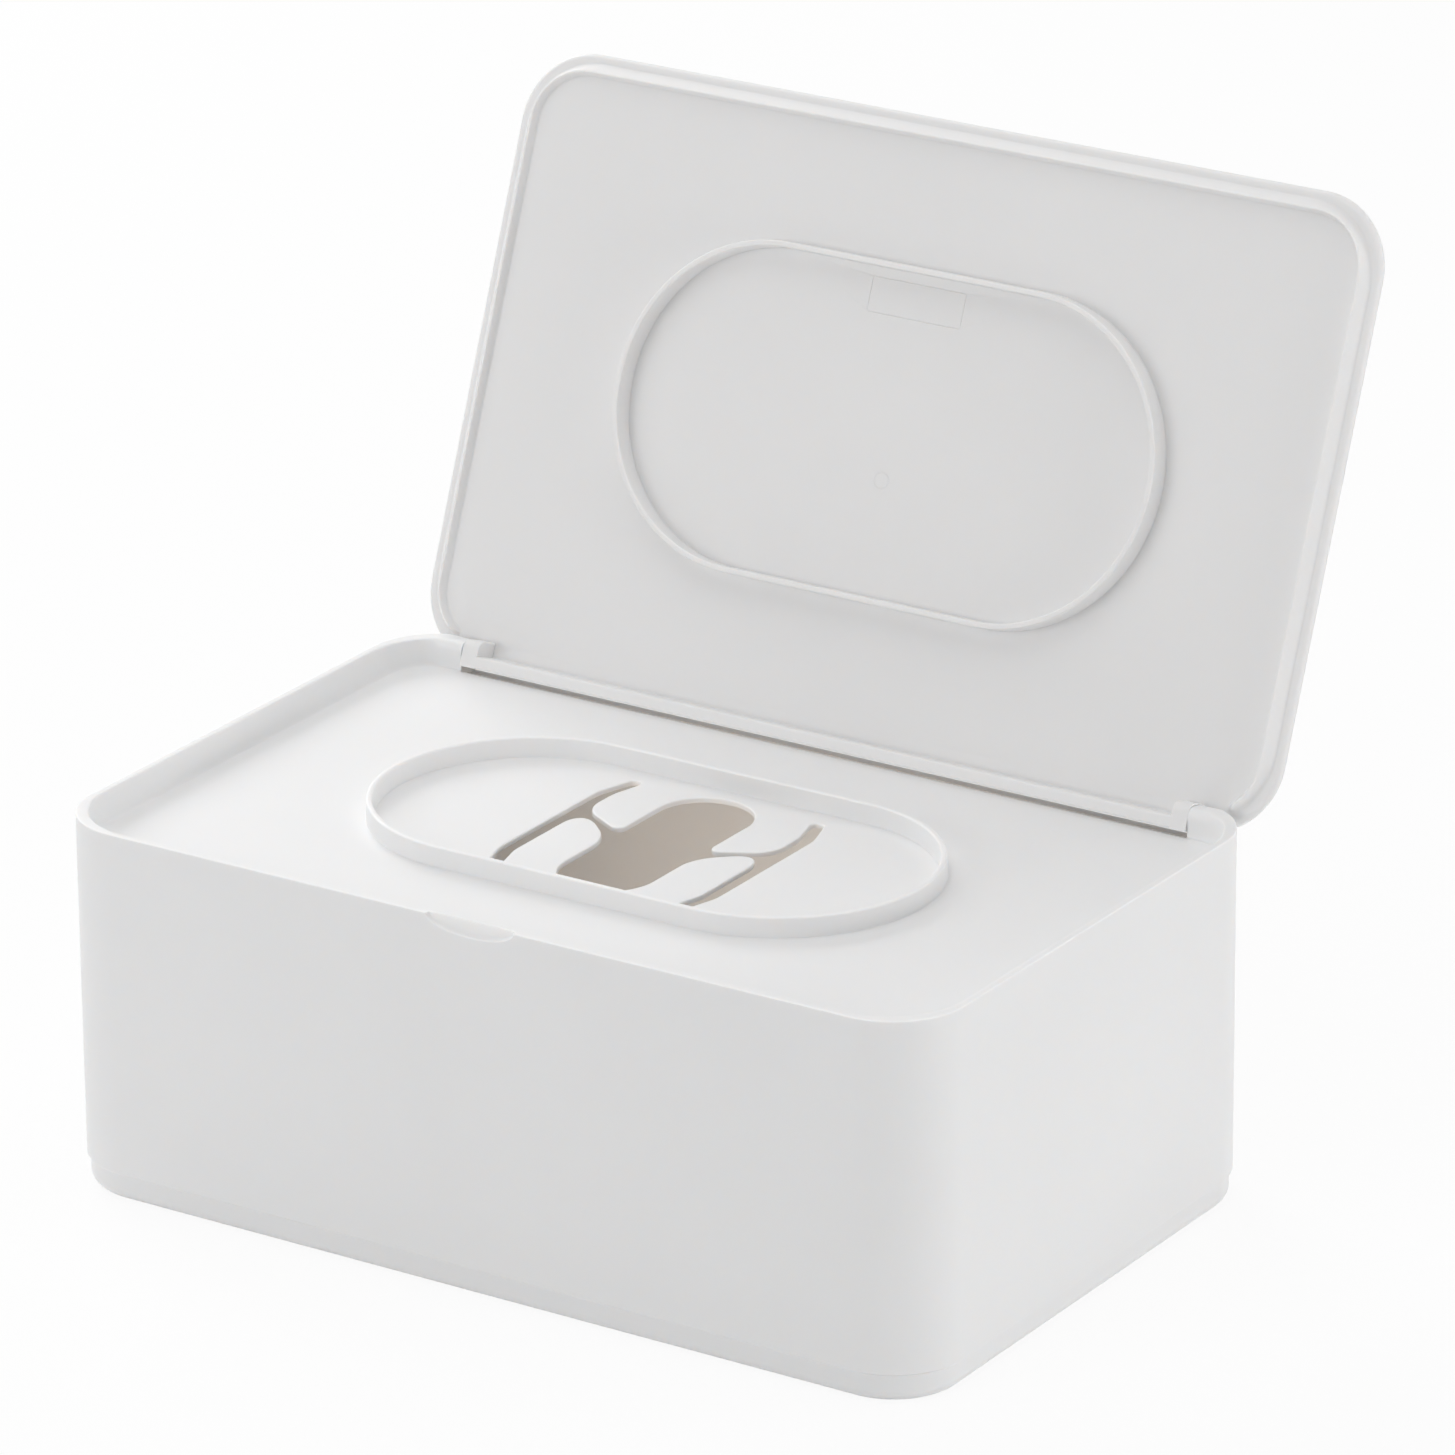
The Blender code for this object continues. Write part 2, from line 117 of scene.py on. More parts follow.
def satin_plastic(name, colour):
    """White moulded plastic: fine grain, faint flow marks, and light that sinks in a little."""
    material = bpy.data.materials.new(name)
    material.use_nodes = True
    nodes = material.node_tree.nodes
    link = material.node_tree.links.new
    shader = nodes["Principled BSDF"]
    shader.inputs["IOR"].default_value = 1.49
    shader.inputs["Subsurface Weight"].default_value = 1.0
    shader.inputs["Subsurface Radius"].default_value = (1.0, 0.92, 0.85)
    shader.inputs["Subsurface Scale"].default_value = GLOW_DEPTH
    place = nodes.new("ShaderNodeTexCoord")

    flow = nodes.new("ShaderNodeTexNoise")
    flow.inputs["Scale"].default_value = FLOW_SCALE
    flow.inputs["Detail"].default_value = 2
    link(place.outputs["Object"], flow.inputs["Vector"])
    tint = nodes.new("ShaderNodeValToRGB")
    tint.color_ramp.elements[0].position = 0.3
    tint.color_ramp.elements[0].color = (*[channel * FLOW_SHADE for channel in colour], 1)
    tint.color_ramp.elements[1].position = 0.7
    tint.color_ramp.elements[1].color = (*colour, 1)
    link(flow.outputs["Fac"], tint.inputs["Fac"])
    link(tint.outputs["Color"], shader.inputs["Base Color"])

    grain = nodes.new("ShaderNodeTexNoise")
    grain.inputs["Scale"].default_value = GRAIN_SCALE
    grain.inputs["Detail"].default_value = 3
    link(place.outputs["Object"], grain.inputs["Vector"])
    polish = nodes.new("ShaderNodeMapRange")
    polish.inputs["To Min"].default_value = ROUGHNESS_LEAST
    polish.inputs["To Max"].default_value = ROUGHNESS_MOST
    link(grain.outputs["Fac"], polish.inputs["Value"])
    link(polish.outputs["Result"], shader.inputs["Roughness"])

    skin = nodes.new("ShaderNodeBump")
    skin.inputs["Strength"].default_value = 0.25
    skin.inputs["Distance"].default_value = 0.00002
    link(grain.outputs["Fac"], skin.inputs["Height"])
    sink = nodes.new("ShaderNodeBump")
    sink.inputs["Strength"].default_value = 0.5
    sink.inputs["Distance"].default_value = 0.0003
    link(flow.outputs["Fac"], sink.inputs["Height"])
    link(skin.outputs["Normal"], sink.inputs["Normal"])
    link(sink.outputs["Normal"], shader.inputs["Normal"])
    return material


def as_object(name, mesh):
    """Turns a finished mesh into an object."""
    data = bpy.data.meshes.new(name)
    mesh.to_mesh(data)
    mesh.free()
    thing = bpy.data.objects.new(name, data)
    bpy.context.scene.collection.objects.link(thing)
    return thing


def finish_piece(thing, plastic):
    """Smooth shading that leaves flat faces flat, and the plastic."""
    thing.data.materials.append(plastic)
    thing.data.shade_smooth()
    thing.data.set_sharp_from_angle(angle=SHARP_TURN)
    weighted = thing.modifiers.new("flat_faces", "WEIGHTED_NORMAL")
    weighted.keep_sharp = True


mesh = bmesh.new()
fillet_middle = FILLET_MIDDLE * TRAY_FLOOR_FILLET
profile = [(UPSTAND_INSIDE + TRAY_FLOOR_FILLET, TRAY_FLOOR)]
profile.append((UPSTAND_INSIDE + fillet_middle, TRAY_FLOOR + fillet_middle))
profile.append((UPSTAND_INSIDE, TRAY_FLOOR + TRAY_FLOOR_FILLET))
for inset, drop in quarter_round(UPSTAND_ROUND, ROUND_STEPS):
    profile.append((UPSTAND_INSIDE - inset, UPSTAND_TOP - drop))
for inset, drop in reversed(quarter_round(UPSTAND_ROUND, ROUND_STEPS)):
    profile.append((UPSTAND_OUTSIDE + inset, UPSTAND_TOP - drop))
profile.append((UPSTAND_OUTSIDE, TRAY_SHELF))
for inset, drop in reversed(quarter_round(TRAY_SHELF_ROUND, ROUND_STEPS)):
    profile.append((TRAY_INSET + inset, TRAY_SHELF - drop))
for inset, drop in quarter_round(TRAY_FOOT_ROUND, TRAY_FOOT_STEPS):
    profile.append((TRAY_INSET + inset, drop))
hoops = [box_hoop(mesh, inset, height) for inset, height in profile]
skin_over(mesh, hoops)
bmesh.ops.edgeloop_fill(mesh, edges=hoops[0])
bmesh.ops.edgeloop_fill(mesh, edges=hoops[-1])
bmesh.ops.recalc_face_normals(mesh, faces=mesh.faces)
tray = as_object("tray_moulding", mesh)
finish_piece(tray, satin_plastic("tray_satin", BODY_WHITE))
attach(tray, "base_tray")
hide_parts("base_tray")

# Case: four straight walls with a rim and a recessed top plate, in one moulding with the ring,
# the four tongues round the opening and the two bosses that hold the hinge pins. White
# polypropylene, 2 mm thick in the walls and 1 mm in the plate. It drops over the tray's upstand.
CASE_BOTTOM = 0.0060
RIM_TOP = 0.0740
PLATE_TOP = 0.0686
PLATE_UNDERSIDE = 0.0676
CASE_WALL = 0.0020
CASE_EDGE_ROUND = 0.00025
CASE_FOOT_ROUND = 0.000125
CASE_FOOT_STEPS = 3
WALL_HEAD = 0.07294
INSIDE_FILLET = 0.0006
BOSS_BLEND = 0.0025
HINGE_Y = 0.0578
HINGE_Z = 0.0713
RIM_SWING = 0.00275
RING_LENGTH = 0.1161
RING_WIDTH = 0.0609
RING_WALL = 0.0012
RING_HEIGHT = 0.0041
RING_ROUND = 0.0004
RING_FOOT = 0.0004
NOTCH_SPAN = 0.1624
NOTCH_FRONT = 0.05485
NOTCH_REAR = 0.0576
NOTCH_FLOOR = 0.0672
NOTCH_ROUND = 0.0003
PIN_HOLE_RADIUS = 0.0012
PIN_HOLE_END = 0.0830
PIN_HOLE_LENGTH = 0.0100
ROD_SIDES = 32
CUT_BEYOND = 0.0010
SCOOP_WIDTH = 0.0190
SCOOP_DEPTH = 0.0028
SCOOP_SIDES = 64
SCOOP_EDGE = 0.0003
SCOOP_EDGE_TURN = 0.3
SAME_PLACE = 1e-6
OPENING_ROUND = 0.0003
OPENING_SIDES_PER_RADIAN = 9
OPENING_FEWEST_SIDES = 3

# An end's corner radius as a share of the width: just under half, for a half circle
HALF_CIRCLE = 0.4995

# The opening's top edge in three steps: shares of its radius outwards and upwards
OPENING_EDGE_STEPS = ((0.13, 0.5), (0.37, 0.37), (0.5, 0.13))

# The rim's inner side: inset from the outline, inset at the bosses, drop, corner radius
RIM_INSIDE = (
    (0.00115, 0.0030, 0.00000, 0.0155),
    (0.00136, 0.0036, 0.00005, 0.0155),
    (0.00148, 0.0040, 0.00018, 0.0154),
    (0.00154, 0.0044, 0.00045, 0.0152),
    (0.00164, 0.0047, 0.00090, 0.0149),
    (0.00176, 0.0049, 0.00140, 0.0146),
    (0.00190, 0.0050, 0.00200, 0.0142),
    (0.00216, 0.0050, 0.00320, 0.0133),
    (0.00250, 0.0050, 0.00440, 0.0122),
    (0.00268, 0.00502, 0.00485, 0.0117),
    (0.00296, 0.00505, 0.00518, 0.0114),
    (0.00322, 0.00510, 0.00534, 0.0112),
    (0.00350, 0.00515, 0.00540, 0.0110),
)

# The thumb scoop from the front inwards: how far it goes in at each step, and how far up
SCOOP_STEPS = ((0.0015, 0.0), (0.0004, 0.0001), (0.0004, 0.0004), (0.0003, 0.0017), (0.0004, 0.0036))

# Half of the opening's outline, from the front middle to the rear middle: corner and its radius
OPENING_HALF = (
    (0.0096, -0.0246, 0.0095),
    (0.0096, -0.0019, 0.0090),
    (0.02065, 0.0080, 0.0036),
    (0.02065, -0.0158, 0.0090),
    (0.0186, -0.0236, 0.00129),
    (0.0214, -0.0236, 0.00129),
    (0.02375, -0.0158, 0.0090),
    (0.02375, 0.0170, 0.0090),
    (0.0214, 0.0248, 0.00129),
    (0.0186, 0.0248, 0.00129),
    (0.02065, 0.0170, 0.0090),
    (0.02065, 0.0083, 0.0060),
    (0.0096, 0.0022, 0.0018),
    (0.0096, 0.0258, 0.0095),
)


def soft_least(value, limit, blend):
    """The smaller of two lengths, with a soft change from one to the other."""
    share = max(blend - abs(value - limit), 0) / blend
    return min(value, limit) - share * share * blend / 4


def ring_hoop(mesh, grow, height):
    """A hoop of the ring's outline, grown or, when negative, set in."""
    width = RING_WIDTH + 2 * grow
    return hoop(mesh, RING_LENGTH + 2 * grow, width, width * HALF_CIRCLE, height)


def pull(mesh, face, move):
    """Extrudes a face by a move, and gives the face at the far end."""
    made = bmesh.ops.extrude_face_region(mesh, geom=[face])["geom"]
    far = [item for item in made if isinstance(item, bmesh.types.BMVert)]
    bmesh.ops.translate(mesh, vec=move, verts=far)
    return [item for item in made if isinstance(item, bmesh.types.BMFace)][0]


def opening_face(mesh, height):
    """The opening as one face, with every corner rounded by its own radius."""
    left = [(-x, y, radius) for x, y, radius in reversed(OPENING_HALF)]
    outline = [*OPENING_HALF, *left]
    corners = [(mesh.verts.new((x, y, height)), radius) for x, y, radius in outline]
    face = mesh.faces.new([corner for corner, radius in corners])
    for corner, radius in corners:
        before, after = [edge.other_vert(corner).co - corner.co for edge in corner.link_edges]
        turn = pi - before.angle(after)
        rounded = bmesh.ops.bevel(
            mesh,
            geom=[corner],
            affect="VERTICES",
            offset=radius * tan(turn / 2),
            segments=max(OPENING_FEWEST_SIDES, round(turn * OPENING_SIDES_PER_RADIAN)),
            profile=0.5,
            material=-1,
        )["verts"]
    return rounded[0].link_faces[0]


def carve(thing, tool, operation):
    """Joins the tool's shape to the thing, or cuts it out, and drops the tool."""
    modifier = thing.modifiers.new("carve", "BOOLEAN")
    modifier.operation = operation
    modifier.solver = "EXACT"
    modifier.object = tool
    bpy.context.view_layer.update()
    seen = thing.evaluated_get(bpy.context.evaluated_depsgraph_get())
    result = bpy.data.meshes.new_from_object(seen)
    thing.modifiers.clear()
    thing.data = result
    bpy.data.objects.remove(tool)


def prism(name, outline, low, high):
    """An outline in Y and Z, carried along X."""
    mesh = bmesh.new()
    start = mesh.faces.new([mesh.verts.new((low, y, z)) for y, z in outline])
    pull(mesh, start, (high - low, 0, 0))
    bmesh.ops.recalc_face_normals(mesh, faces=mesh.faces)
    return as_object(name, mesh)


def hinge_rod(name, radius, length, middle):
    """A round rod on the hinge's axis."""
    mesh = bmesh.new()
    bmesh.ops.create_cone(
        mesh, cap_ends=True, segments=ROD_SIDES, radius1=radius, radius2=radius, depth=length
    )
    bmesh.ops.rotate(mesh, verts=mesh.verts, matrix=Matrix.Rotation(pi / 2, 3, "Y"))
    bmesh.ops.translate(mesh, verts=mesh.verts, vec=(middle, HINGE_Y, HINGE_Z))
    return as_object(name, mesh)


mesh = bmesh.new()
fillet_middle = FILLET_MIDDLE * INSIDE_FILLET
hoops = [box_hoop(mesh, CASE_WALL + INSIDE_FILLET, PLATE_UNDERSIDE)]
hoops.append(box_hoop(mesh, CASE_WALL + fillet_middle, PLATE_UNDERSIDE - fillet_middle))
hoops.append(box_hoop(mesh, CASE_WALL, PLATE_UNDERSIDE - INSIDE_FILLET))
hoops.append(box_hoop(mesh, CASE_WALL, CASE_BOTTOM))
for inset, drop in reversed(quarter_round(CASE_FOOT_ROUND, CASE_FOOT_STEPS)):
    hoops.append(box_hoop(mesh, inset, CASE_BOTTOM + drop))
hoops.append(box_hoop(mesh, 0, WALL_HEAD))
for inset, drop in quarter_round(CASE_EDGE_ROUND, ROUND_STEPS):
    hoops.append(box_hoop(mesh, inset, RIM_TOP - drop))
for inset, boss_inset, drop, radius in RIM_INSIDE:
    loop = box_hoop(mesh, inset, RIM_TOP - drop, radius)
    for vert in {vert for edge in loop for vert in edge.verts}:
        if vert.co.y > 0:
            vert.co.y = soft_least(vert.co.y, BOX_DEPTH / 2 - boss_inset, BOSS_BLEND)
    hoops.append(loop)
skin_over(mesh, hoops)

# The rim's rear edge is round about the hinge, so that the opening lid passes over it
for vert in mesh.verts:
    reach = hypot(vert.co.y - HINGE_Y, vert.co.z - HINGE_Z)
    if vert.co.y > HINGE_Y and vert.co.z > HINGE_Z and reach > RIM_SWING:
        vert.co.y = HINGE_Y + (vert.co.y - HINGE_Y) * RIM_SWING / reach
        vert.co.z = HINGE_Z + (vert.co.z - HINGE_Z) * RIM_SWING / reach

foot_middle = FILLET_MIDDLE * RING_FOOT
ring = [ring_hoop(mesh, RING_FOOT, PLATE_TOP)]
ring.append(ring_hoop(mesh, foot_middle, PLATE_TOP + foot_middle))
ring.append(ring_hoop(mesh, 0, PLATE_TOP + RING_FOOT))
for inset, drop in quarter_round(RING_ROUND, ROUND_STEPS):
    ring.append(ring_hoop(mesh, -inset, PLATE_TOP + RING_HEIGHT - drop))
for inset, drop in reversed(quarter_round(RING_ROUND, ROUND_STEPS)):
    ring.append(ring_hoop(mesh, inset - RING_WALL, PLATE_TOP + RING_HEIGHT - drop))
ring.append(ring_hoop(mesh, -RING_WALL, PLATE_TOP + RING_FOOT))
ring.append(ring_hoop(mesh, -RING_WALL - foot_middle, PLATE_TOP + foot_middle))
ring.append(ring_hoop(mesh, -RING_WALL - RING_FOOT, PLATE_TOP))
skin_over(mesh, ring)

under_face = opening_face(mesh, PLATE_UNDERSIDE)
under_opening = list(under_face.edges)
face = pull(mesh, under_face, (0, 0, PLATE_TOP - OPENING_ROUND - PLATE_UNDERSIDE))
bmesh.ops.delete(mesh, geom=[under_face], context="FACES_ONLY")
for share_out, share_up in OPENING_EDGE_STEPS:
    bmesh.ops.inset_region(
        mesh,
        faces=[face],
        thickness=-share_out * OPENING_ROUND,
        depth=share_up * OPENING_ROUND,
        use_even_offset=True,
        use_boundary=True,
    )
over_opening = list(face.edges)
bmesh.ops.delete(mesh, geom=[face], context="FACES_ONLY")
for edges in (hoops[-1] + ring[0], ring[-1] + over_opening):
    bmesh.ops.triangle_fill(mesh, edges=edges, use_beauty=True, normal=(0, 0, 1))
under_plate = hoops[0] + under_opening
bmesh.ops.triangle_fill(mesh, edges=under_plate, use_beauty=True, normal=(0, 0, -1))
bmesh.ops.recalc_face_normals(mesh, faces=mesh.faces)
case = as_object("case_moulding", mesh)

notch = [
    (NOTCH_FRONT, PLATE_UNDERSIDE - CUT_BEYOND),
    (NOTCH_REAR, PLATE_UNDERSIDE - CUT_BEYOND),
    (NOTCH_REAR, NOTCH_FLOOR),
    (BOX_DEPTH / 2 + CUT_BEYOND, NOTCH_FLOOR),
    (BOX_DEPTH / 2 + CUT_BEYOND, RIM_TOP + CUT_BEYOND),
    (NOTCH_FRONT - NOTCH_ROUND, RIM_TOP + CUT_BEYOND),
]
for inset, drop in reversed(quarter_round(NOTCH_ROUND, ROUND_STEPS)):
    notch.append((NOTCH_FRONT - inset, PLATE_TOP - drop))
carve(case, prism("notch_tool", notch, -NOTCH_SPAN / 2, NOTCH_SPAN / 2), "DIFFERENCE")

for side in (-1, 1):
    hole_middle = side * (PIN_HOLE_END - PIN_HOLE_LENGTH / 2)
    tool = hinge_rod("pin_hole_tool", PIN_HOLE_RADIUS, PIN_HOLE_LENGTH, hole_middle)
    carve(case, tool, "DIFFERENCE")

mesh = bmesh.new()
bmesh.ops.create_circle(mesh, cap_ends=True, radius=1, segments=SCOOP_SIDES)
bmesh.ops.rotate(mesh, verts=mesh.verts, matrix=Matrix.Rotation(pi / 2, 3, "X"))
bmesh.ops.scale(mesh, verts=mesh.verts, vec=(SCOOP_WIDTH / 2, 1, SCOOP_DEPTH))
bmesh.ops.translate(mesh, verts=mesh.verts, vec=(0, -BOX_DEPTH / 2 - SCOOP_STEPS[0][0], RIM_TOP))
far_face = list(mesh.faces)[0]
for step, (inwards, upwards) in enumerate(SCOOP_STEPS):
    face = far_face
    far_face = pull(mesh, face, (0, inwards, upwards))
    if step > 0:
        bmesh.ops.delete(mesh, geom=[face], context="FACES_ONLY")
bmesh.ops.recalc_face_normals(mesh, faces=mesh.faces)
carve(case, as_object("scoop_tool", mesh), "DIFFERENCE")

# The scoop's front edge is rounded off, where a thumb goes
mesh = bmesh.new()
mesh.from_mesh(case.data)
arc_edges = []
for edge in mesh.edges:
    on_front = all(abs(vert.co.y + BOX_DEPTH / 2) < SAME_PLACE for vert in edge.verts)
    in_scoop = all(abs(vert.co.x) < SCOOP_WIDTH / 2 for vert in edge.verts)
    faces = edge.link_faces
    if on_front and in_scoop and len(faces) == 2:
        if faces[0].normal.angle(faces[1].normal) > SCOOP_EDGE_TURN:
            arc_edges.append(edge)
bmesh.ops.bevel(
    mesh,
    geom=arc_edges,
    affect="EDGES",
    offset=SCOOP_EDGE,
    segments=ROUND_STEPS,
    profile=0.5,
    material=-1,
)
mesh.to_mesh(case.data)
mesh.free()
finish_piece(case, satin_plastic("case_satin", BODY_WHITE))
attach(case, "case")
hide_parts("case")

# Lid: a plate with a full-round edge, a lip that drops inside the rim, an oval ring that closes
# round the case's ring, and the hinge band with its two arms and pins, in one moulding of the
# same plastic. It is modelled shut and swung open about the pins.
LID_UNDERSIDE = 0.07425
LID_TOP = 0.07645
LID_OVERHANG = 0.00028
LID_REAR_INSET = 0.0001
LID_EDGE = 0.0011
LID_EDGE_STEPS = 7
OPEN_ANGLE = radians(111.65)
LIP_FADE_START = radians(50)
LIP_FADE_END = radians(60)
PANEL_DROP = 0.0003
PANEL_INSET = 0.0049
PANEL_REAR_INSET = 0.0110
LID_RING_GAP = 0.0004
LID_RING_WALL = 0.0011
LID_RING_HEIGHT = 0.0045
LID_RING_ROUND = 0.0003
LID_RING_FOOT = 0.0003
BAND_REAR = 0.0604
BAND_THICKNESS = 0.0025
BAND_BOTTOM = 0.0685
BAND_ROUND = 0.0005
BAND_HEAD = 0.0004
ARM_OUTSIDE = 0.0811
ARM_WIDTH = 0.0035
ARM_DEPTH = 0.0054
ARM_ROUND = 0.0020
ARM_ROUND_STEPS = 6
ARM_EDGE = 0.00015
ARM_EDGE_STEPS = 3
ARM_EDGE_TURN = radians(60)
PIN_RADIUS = 0.0009
PIN_END = 0.0826
PIN_LENGTH = 0.0036
LID_WHITE = (0.827, 0.823, 0.822)
INSERT_WIDTH = 0.0209
INSERT_DEPTH = 0.0070
INSERT_Y = -0.0254
INSERT_CORNER = 0.0004
GATE_Y = 0.0088
GATE_RADIUS = 0.0018
MARK_DEPTH = 0.00012

# The grooves of the two mould marks: how much the mark has shrunk, and the depth there
INSERT_GROOVE = ((0, 0), (0.00025, MARK_DEPTH), (0.0005, 0))
GATE_HOLLOW = ((0, 0), (0.00015, MARK_DEPTH), (0.00035, MARK_DEPTH), (0.0005, 0))

# The underside's edge from the flat flange, over the sloping lip, to its foot at the panel:
# inset from the lid's outline, drop below the underside, corner radius
LIP_PROFILE = (
    (0.00150, 0.00000, 0.0145),
    (0.00168, 0.00004, 0.0146),
    (0.00182, 0.00016, 0.0147),
    (0.00196, 0.00033, 0.0148),
    (0.00250, 0.00098, 0.0138),
    (0.00310, 0.00172, 0.0120),
    (0.00336, 0.00202, 0.0114),
    (0.00350, 0.00213, 0.0113),
    (0.00364, 0.00217, 0.0112),
    (0.00378, 0.00211, 0.0110),
    (0.00388, 0.00193, 0.0109),
    (0.00426, 0.00066, 0.0106),
    (0.00434, 0.00046, 0.0105),
    (0.00448, 0.00034, 0.0104),
    (0.00464, 0.00030, 0.0103),
)


def lid_hoop(mesh, inset, height, rear_inset=None, radius=None):
    """A hoop set in from the lid's outline."""
    if rear_inset is None:
        rear_inset = inset
    if radius is None:
        radius = BOX_CORNER + LID_OVERHANG - inset
    front = -BOX_DEPTH / 2 - LID_OVERHANG + inset
    rear = BOX_DEPTH / 2 - LID_REAR_INSET - rear_inset
    width = BOX_WIDTH + 2 * LID_OVERHANG - 2 * inset
    return hoop(mesh, width, rear - front, radius, height, (front + rear) / 2)


def smooth_step(value):
    """From 0 to 1 with soft ends."""
    value = min(max(value, 0), 1)
    return value * value * (3 - 2 * value)


mesh = bmesh.new()
hoops = []
for inset, drop in reversed(quarter_round(LID_EDGE, LID_EDGE_STEPS)):
    hoops.append(lid_hoop(mesh, inset, LID_TOP - drop))
for inset, drop in quarter_round(LID_EDGE, LID_EDGE_STEPS)[1:]:
    hoops.append(lid_hoop(mesh, inset, LID_UNDERSIDE + drop))
corner_x = BOX_WIDTH / 2 - BOX_CORNER
corner_y = BOX_DEPTH / 2 - LID_REAR_INSET - BOX_CORNER - LID_OVERHANG
for inset, drop, radius in LIP_PROFILE:
    loop = lid_hoop(mesh, inset, LID_UNDERSIDE, radius=radius)
    for vert in {vert for edge in loop for vert in edge.verts}:
        turn = atan2(vert.co.y - corner_y, abs(vert.co.x) - corner_x)
        if vert.co.y < 0:
            turn = 0
        vert.co.z -= drop * smooth_step((LIP_FADE_END - turn) / (LIP_FADE_END - LIP_FADE_START))
    hoops.append(loop)
hoops.append(lid_hoop(mesh, PANEL_INSET, LID_UNDERSIDE - PANEL_DROP, PANEL_REAR_INSET))
skin_over(mesh, hoops)
bmesh.ops.edgeloop_fill(mesh, edges=hoops[0])

panel = LID_UNDERSIDE - PANEL_DROP
ring_tip = panel - LID_RING_HEIGHT
ring_outside = LID_RING_GAP + LID_RING_WALL
foot_middle = FILLET_MIDDLE * LID_RING_FOOT
ring = [ring_hoop(mesh, ring_outside + LID_RING_FOOT, panel)]
ring.append(ring_hoop(mesh, ring_outside + foot_middle, panel - foot_middle))
ring.append(ring_hoop(mesh, ring_outside, panel - LID_RING_FOOT))
for inset, drop in quarter_round(LID_RING_ROUND, ROUND_STEPS):
    ring.append(ring_hoop(mesh, ring_outside - inset, ring_tip + drop))
for inset, drop in reversed(quarter_round(LID_RING_ROUND, ROUND_STEPS)):
    ring.append(ring_hoop(mesh, LID_RING_GAP + inset, ring_tip + drop))
ring.append(ring_hoop(mesh, LID_RING_GAP, panel - LID_RING_FOOT))
ring.append(ring_hoop(mesh, LID_RING_GAP - foot_middle, panel - foot_middle))
ring.append(ring_hoop(mesh, LID_RING_GAP - LID_RING_FOOT, panel))
skin_over(mesh, ring)

# Two faint mould marks inside the ring: the joint of a mould insert, and the gate's round scar
insert = []
for shrink, depth in INSERT_GROOVE:
    size = (INSERT_WIDTH - shrink, INSERT_DEPTH - shrink)
    insert.append(hoop(mesh, *size, INSERT_CORNER, panel + depth, INSERT_Y))
skin_over(mesh, insert)
bmesh.ops.edgeloop_fill(mesh, edges=insert[-1])
gate = []
for shrink, depth in GATE_HOLLOW:
    width = 2 * (GATE_RADIUS - shrink)
    gate.append(hoop(mesh, width, width, width * HALF_CIRCLE, panel + depth, GATE_Y))
skin_over(mesh, gate)
bmesh.ops.edgeloop_fill(mesh, edges=gate[-1])
bmesh.ops.triangle_fill(mesh, edges=hoops[-1] + ring[0], use_beauty=True, normal=(0, 0, -1))
inside_ring = ring[-1] + insert[0] + gate[0]
bmesh.ops.triangle_fill(mesh, edges=inside_ring, use_beauty=True, normal=(0, 0, -1))
bmesh.ops.recalc_face_normals(mesh, faces=mesh.faces)
lid = as_object("lid_moulding", mesh)

inside = BAND_REAR - BAND_THICKNESS
middle = (LID_UNDERSIDE + LID_TOP) / 2
band = [(inside - BAND_ROUND, middle)]
band_round = quarter_round(BAND_ROUND, ROUND_STEPS)
for inset, drop in reversed(band_round):
    band.append((inside - inset, LID_UNDERSIDE - drop))
for inset, drop in band_round:
    band.append((inside + inset, BAND_BOTTOM + drop))
for inset, drop in reversed(band_round):
    band.append((BAND_REAR - inset, BAND_BOTTOM + drop))
for inset, drop in band_round:
    band.append((BAND_REAR - inset, middle + BAND_HEAD - drop))
band_end = ARM_OUTSIDE - ARM_WIDTH / 2
carve(lid, prism("band_tool", band, -band_end, band_end), "UNION")

arm = [(BAND_REAR, BAND_BOTTOM), (BAND_REAR, middle), (BAND_REAR - ARM_DEPTH, middle)]
for inset, drop in quarter_round(ARM_ROUND, ARM_ROUND_STEPS):
    arm.append((BAND_REAR - ARM_DEPTH + inset, BAND_BOTTOM + drop))
for side in (-1, 1):
    ends = sorted((side * ARM_OUTSIDE, side * (ARM_OUTSIDE - ARM_WIDTH)))
    tool = prism("arm_tool", arm, *ends)
    mesh = bmesh.new()
    mesh.from_mesh(tool.data)
    rims = [edge for edge in mesh.edges if edge.calc_face_angle() > ARM_EDGE_TURN]
    bmesh.ops.bevel(
        mesh,
        geom=rims,
        affect="EDGES",
        offset=ARM_EDGE,
        segments=ARM_EDGE_STEPS,
        profile=0.5,
        material=-1,
    )
    mesh.to_mesh(tool.data)
    mesh.free()
    carve(lid, tool, "UNION")
    pin_middle = side * (PIN_END - PIN_LENGTH / 2)
    carve(lid, hinge_rod("pin_tool", PIN_RADIUS, PIN_LENGTH, pin_middle), "UNION")

hinge = Vector((0, HINGE_Y, HINGE_Z))
swing = Matrix.Translation(hinge) @ Matrix.Rotation(-OPEN_ANGLE, 4, "X") @ Matrix.Translation(-hinge)
lid.data.transform(swing)
finish_piece(lid, satin_plastic("lid_satin", LID_WHITE))
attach(lid, "lid")
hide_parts("lid")

# Studio: a pale floor that shows white but keeps the shadow, in a white room, with six large
# soft lamps round the box and a small one inside it
FLOOR_REACH = 4
FLOOR_PAINT = (0.95, 0.95, 0.95, 1)
PURE_WHITE = (1, 1, 1, 1)
PAPER_SHARE = 0.9
ROOM_GLOW = 0.23


